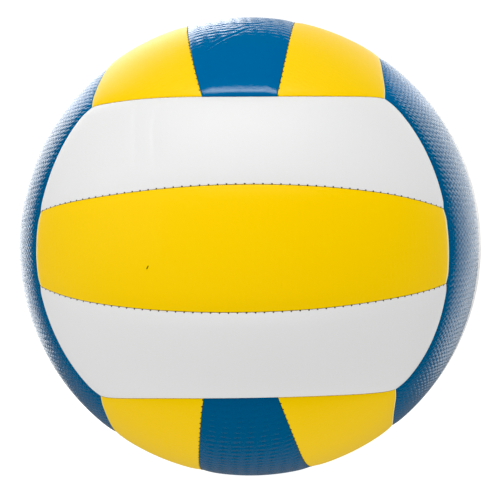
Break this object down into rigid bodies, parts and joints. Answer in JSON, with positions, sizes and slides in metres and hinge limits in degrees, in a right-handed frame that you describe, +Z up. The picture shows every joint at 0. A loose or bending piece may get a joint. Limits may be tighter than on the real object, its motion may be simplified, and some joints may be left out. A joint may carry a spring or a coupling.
{
  "type": "volleyball",
  "caption": "Inflated volleyball of sewn strip panels over foam and cloth, round a rubber bladder with a needle valve.",
  "frame": {"origin": "centre of the ball, where the axes of its six faces cross", "axes": "+Z up as the ball lies in the picture, through the middle of the top face; -Y out of the middle of the face that the picture shows; +Y out along the valve's needle bore in the opposite face"},
  "size_m": [0.21, 0.2099, 0.21],
  "materials": {
    "skin_white": "satin",
    "skin_yellow": "satin",
    "skin_blue": "satin",
    "foam": "matte",
    "lining": "matte",
    "bladder": "satin",
    "valve_core": "satin",
    "thread": "matte"
  },
  "bodies": {
    "root": {"skin_front_lower": "skin_white", "skin_front_middle": "skin_yellow", "skin_front_upper": "skin_white", "skin_back_lower": "skin_white", "skin_back_middle": "skin_yellow", "skin_back_upper": "skin_white", "skin_top_left": "skin_yellow", "skin_top_middle": "skin_blue", "skin_top_right": "skin_yellow", "skin_bottom_left": "skin_yellow", "skin_bottom_middle": "skin_blue", "skin_bottom_right": "skin_yellow", "skin_left_front": "skin_blue", "skin_left_middle": "skin_white", "skin_left_rear": "skin_blue", "skin_right_front": "skin_blue", "skin_right_middle": "skin_white", "skin_right_rear": "skin_blue", "foam_front_lower": "foam", "foam_front_middle": "foam", "foam_front_upper": "foam", "foam_back_lower": "foam", "foam_back_middle": "foam", "foam_back_upper": "foam", "foam_top_left": "foam", "foam_top_middle": "foam", "foam_top_right": "foam", "foam_bottom_left": "foam", "foam_bottom_middle": "foam", "foam_bottom_right": "foam", "foam_left_front": "foam", "foam_left_middle": "foam", "foam_left_rear": "foam", "foam_right_front": "foam", "foam_right_middle": "foam", "foam_right_rear": "foam", "lining_front_lower": "lining", "lining_front_middle": "lining", "lining_front_upper": "lining", "lining_back_lower": "lining", "lining_back_middle": "lining", "lining_back_upper": "lining", "lining_top_left": "lining", "lining_top_middle": "lining", "lining_top_right": "lining", "lining_bottom_left": "lining", "lining_bottom_middle": "lining", "lining_bottom_right": "lining", "lining_left_front": "lining", "lining_left_middle": "lining", "lining_left_rear": "lining", "lining_right_front": "lining", "lining_right_middle": "lining", "lining_right_rear": "lining", "bladder": "bladder", "valve_stem": "bladder", "valve_core": "valve_core", "rim_seam_thread": "thread", "strip_seam_thread": "thread"}
  },
  "joints": []
}
